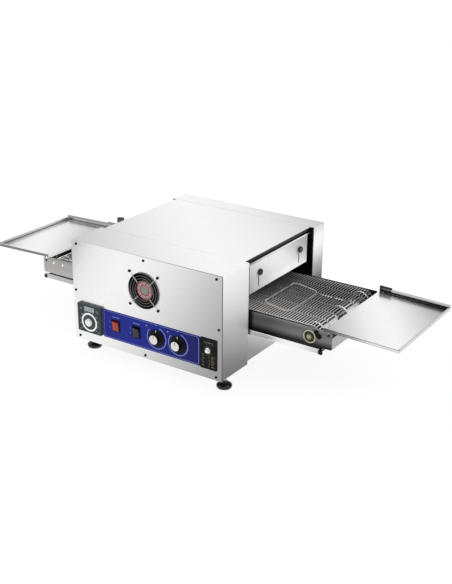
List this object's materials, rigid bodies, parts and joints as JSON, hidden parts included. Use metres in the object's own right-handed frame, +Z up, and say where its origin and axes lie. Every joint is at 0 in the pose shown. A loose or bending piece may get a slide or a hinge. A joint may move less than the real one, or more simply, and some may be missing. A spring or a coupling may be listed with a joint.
{
  "type": "conveyor pizza oven",
  "caption": "Countertop conveyor oven: a wire belt through a heated steel tunnel, with a front control box, fan, end doors, landing trays and crumb trays.",
  "frame": {"origin": "on the table under the middle of the oven, midway between the four feet", "axes": "+X along the belt to the right as seen from the control side, +Y to the back, +Z up"},
  "size_m": [1.511, 0.63, 0.377],
  "materials": {
    "front_panel": "brushed stainless sheet",
    "control_box_shell": "brushed stainless sheet",
    "control_box_inner_wall": "brushed stainless sheet",
    "panel_screws": "blackened steel",
    "tunnel_cover": "brushed stainless sheet",
    "base_pan": "brushed stainless sheet",
    "end_frames": "brushed stainless sheet",
    "rear_box_shell": "brushed stainless sheet",
    "rear_box_inner_wall": "heat darkened sheet",
    "back_panel": "brushed stainless sheet",
    "right_door": "brushed stainless sheet",
    "left_door": "brushed stainless sheet",
    "right_door_front_thumbscrew": "knurled black",
    "right_door_rear_thumbscrew": "knurled black",
    "left_door_front_thumbscrew": "knurled black",
    "left_door_rear_thumbscrew": "knurled black",
    "chamber_ceiling": "heat tinted sheet",
    "insulation_blanket": "ceramic fibre",
    "upper_heaters": "oxidised heater sheath",
    "lower_heaters": "oxidised heater sheath",
    "front_side_plate": "brushed stainless sheet",
    "rear_side_plate": "brushed stainless sheet",
    "support_rails": "folded stainless",
    "frame_cross_ties": "bright bar",
    "belt_support_rods": "polished rod",
    "conveyor_belt": "stainless wire",
    "drive_shaft": "ground bar",
    "drive_sprockets": "stainless",
    "idler_shaft": "ground bar",
    "idler_sprockets": "stainless",
    "shaft_bearings": "bronze",
    "gear_motor": "satin grey",
    "motor_bracket": "folded sheet",
    "motor_sprocket": "oiled steel",
    "driven_sprocket": "oiled steel",
    "drive_chain": "oiled steel",
    "control_overlay": "blue printed film",
    "speed_controller": "slate grey",
    "speed_dial": "off white",
    "switch_housings": "black",
    "power_rocker": "translucent red",
    "selector_rocker": "black",
    "heat_regulators": "phenolic",
    "upper_heat_knob": "black skirt with off white cap",
    "lower_heat_knob": "black skirt with off white cap",
    "cutout_plate": "black",
    "reset_button": "white",
    "fan_frame": "black",
    "fan_rotor": "black with a ringed hub label",
    "fan_guard": "chromed wire",
    "front_left_foot": "black cup on a steel stem",
    "front_right_foot": "black cup on a steel stem",
    "rear_left_foot": "black cup on a steel stem",
    "rear_right_foot": "black cup on a steel stem",
    "left_tray": "brushed stainless sheet",
    "right_tray": "brushed stainless sheet",
    "left_crumb_tray": "brushed stainless sheet",
    "right_crumb_tray": "brushed stainless sheet",
    "terminal_block": "glazed",
    "cable_gland": "black nylon"
  },
  "bodies": {
    "oven": {"front_panel": "front_panel", "control_box_shell": "control_box_shell", "control_box_inner_wall": "control_box_inner_wall", "panel_screws": "panel_screws", "tunnel_cover": "tunnel_cover", "base_pan": "base_pan", "end_frames": "end_frames", "rear_box_shell": "rear_box_shell", "rear_box_inner_wall": "rear_box_inner_wall", "back_panel": "back_panel", "chamber_ceiling": "chamber_ceiling", "insulation_blanket": "insulation_blanket", "upper_heaters": "upper_heaters", "lower_heaters": "lower_heaters", "front_side_plate": "front_side_plate", "rear_side_plate": "rear_side_plate", "support_rails": "support_rails", "frame_cross_ties": "frame_cross_ties", "belt_support_rods": "belt_support_rods", "conveyor_belt": "conveyor_belt", "shaft_bearings": "shaft_bearings", "gear_motor": "gear_motor", "motor_bracket": "motor_bracket", "drive_chain": "drive_chain", "control_overlay": "control_overlay", "speed_controller": "speed_controller", "switch_housings": "switch_housings", "heat_regulators": "heat_regulators", "cutout_plate": "cutout_plate", "fan_frame": "fan_frame", "fan_guard": "fan_guard", "terminal_block": "terminal_block", "cable_gland": "cable_gland"},
    "right_door": {"right_door": "right_door"},
    "left_door": {"left_door": "left_door"},
    "right_door_front_thumbscrew": {"right_door_front_thumbscrew": "right_door_front_thumbscrew"},
    "right_door_rear_thumbscrew": {"right_door_rear_thumbscrew": "right_door_rear_thumbscrew"},
    "left_door_front_thumbscrew": {"left_door_front_thumbscrew": "left_door_front_thumbscrew"},
    "left_door_rear_thumbscrew": {"left_door_rear_thumbscrew": "left_door_rear_thumbscrew"},
    "drive_roller": {"drive_shaft": "drive_shaft", "drive_sprockets": "drive_sprockets", "driven_sprocket": "driven_sprocket"},
    "idler_roller": {"idler_shaft": "idler_shaft", "idler_sprockets": "idler_sprockets"},
    "motor_output": {"motor_sprocket": "motor_sprocket"},
    "fan_rotor": {"fan_rotor": "fan_rotor"},
    "speed_dial": {"speed_dial": "speed_dial"},
    "power_rocker": {"power_rocker": "power_rocker"},
    "selector_rocker": {"selector_rocker": "selector_rocker"},
    "upper_heat_knob": {"upper_heat_knob": "upper_heat_knob"},
    "lower_heat_knob": {"lower_heat_knob": "lower_heat_knob"},
    "reset_button": {"reset_button": "reset_button"},
    "front_left_foot": {"front_left_foot": "front_left_foot"},
    "front_right_foot": {"front_right_foot": "front_right_foot"},
    "rear_left_foot": {"rear_left_foot": "rear_left_foot"},
    "rear_right_foot": {"rear_right_foot": "rear_right_foot"},
    "left_tray": {"left_tray": "left_tray"},
    "right_tray": {"right_tray": "right_tray"},
    "left_crumb_tray": {"left_crumb_tray": "left_crumb_tray"},
    "right_crumb_tray": {"right_crumb_tray": "right_crumb_tray"}
  },
  "joints": [
    {"name": "drive_roller_spin", "type": "hinge", "parent": "oven", "child": "drive_roller", "pos_m": [0.482, 0.0365, 0.191], "axis": [0, 1, 0], "continuous": true},
    {"name": "idler_roller_spin", "type": "hinge", "parent": "oven", "child": "idler_roller", "pos_m": [-0.482, 0.0365, 0.191], "axis": [0, 1, 0], "continuous": true},
    {"name": "motor_output_spin", "type": "hinge", "parent": "oven", "child": "motor_output", "pos_m": [0.15, -0.16, 0.191], "axis": [0, 1, 0], "continuous": true},
    {"name": "fan_spin", "type": "hinge", "parent": "oven", "child": "fan_rotor", "pos_m": [0, -0.27, 0.271], "axis": [0, 1, 0], "continuous": true},
    {"name": "right_door_lift", "type": "slide", "parent": "oven", "child": "right_door", "axis": [0, 0, 1], "range_m": [0, 0.042]},
    {"name": "left_door_lift", "type": "slide", "parent": "oven", "child": "left_door", "axis": [0, 0, 1], "range_m": [0, 0.042]},
    {"name": "right_door_front_thumbscrew_turn", "type": "hinge", "parent": "oven", "child": "right_door_front_thumbscrew", "pos_m": [0.27, -0.083, 0.3239], "axis": [1, 0, 0], "range_deg": [-720, 0]},
    {"name": "right_door_rear_thumbscrew_turn", "type": "hinge", "parent": "oven", "child": "right_door_rear_thumbscrew", "pos_m": [0.27, 0.157, 0.3239], "axis": [1, 0, 0], "range_deg": [-720, 0]},
    {"name": "left_door_front_thumbscrew_turn", "type": "hinge", "parent": "oven", "child": "left_door_front_thumbscrew", "pos_m": [-0.27, -0.083, 0.3239], "axis": [-1, 0, 0], "range_deg": [-720, 0]},
    {"name": "left_door_rear_thumbscrew_turn", "type": "hinge", "parent": "oven", "child": "left_door_rear_thumbscrew", "pos_m": [-0.27, 0.157, 0.3239], "axis": [-1, 0, 0], "range_deg": [-720, 0]},
    {"name": "right_tray_lift", "type": "slide", "parent": "oven", "child": "right_tray", "axis": [0, 0, 1], "range_m": [0, 0.06]},
    {"name": "left_tray_lift", "type": "slide", "parent": "oven", "child": "left_tray", "axis": [0, 0, 1], "range_m": [0, 0.06]},
    {"name": "right_crumb_tray_slide", "type": "slide", "parent": "oven", "child": "right_crumb_tray", "axis": [1, 0, 0], "range_m": [0, 0.24]},
    {"name": "left_crumb_tray_slide", "type": "slide", "parent": "oven", "child": "left_crumb_tray", "axis": [-1, 0, 0], "range_m": [-0.03, 0.21]},
    {"name": "speed_dial_turn", "type": "hinge", "parent": "oven", "child": "speed_dial", "pos_m": [-0.212, -0.305, 0.1185], "axis": [0, 1, 0], "range_deg": [0, 280]},
    {"name": "upper_heat_knob_turn", "type": "hinge", "parent": "oven", "child": "upper_heat_knob", "pos_m": [0.045, -0.3, 0.128], "axis": [0, 1, 0], "range_deg": [0, 270]},
    {"name": "lower_heat_knob_turn", "type": "hinge", "parent": "oven", "child": "lower_heat_knob", "pos_m": [0.125, -0.3, 0.128], "axis": [0, 1, 0], "range_deg": [0, 270]},
    {"name": "power_rocker_tilt", "type": "hinge", "parent": "oven", "child": "power_rocker", "pos_m": [-0.112, -0.294, 0.128], "axis": [1, 0, 0], "range_deg": [-16, 0]},
    {"name": "selector_rocker_tilt", "type": "hinge", "parent": "oven", "child": "selector_rocker", "pos_m": [-0.032, -0.294, 0.128], "axis": [1, 0, 0], "range_deg": [-16, 0]},
    {"name": "reset_button_press", "type": "slide", "parent": "oven", "child": "reset_button", "axis": [0, 1, 0], "range_m": [0, 0.002], "stiffness_N_per_m": 400},
    {"name": "front_left_foot_turn", "type": "hinge", "parent": "oven", "child": "front_left_foot", "pos_m": [-0.252, -0.24, 0.02], "axis": [0, 0, 1], "continuous": true},
    {"name": "front_right_foot_turn", "type": "hinge", "parent": "oven", "child": "front_right_foot", "pos_m": [0.252, -0.24, 0.02], "axis": [0, 0, 1], "continuous": true},
    {"name": "rear_left_foot_turn", "type": "hinge", "parent": "oven", "child": "rear_left_foot", "pos_m": [-0.252, 0.24, 0.02], "axis": [0, 0, 1], "continuous": true},
    {"name": "rear_right_foot_turn", "type": "hinge", "parent": "oven", "child": "rear_right_foot", "pos_m": [0.252, 0.24, 0.02], "axis": [0, 0, 1], "continuous": true}
  ],
  "couplings": [
    {"joint": "idler_roller_spin", "follows": "drive_roller_spin", "ratio": 1},
    {"joint": "motor_output_spin", "follows": "drive_roller_spin", "ratio": 1}
  ]
}
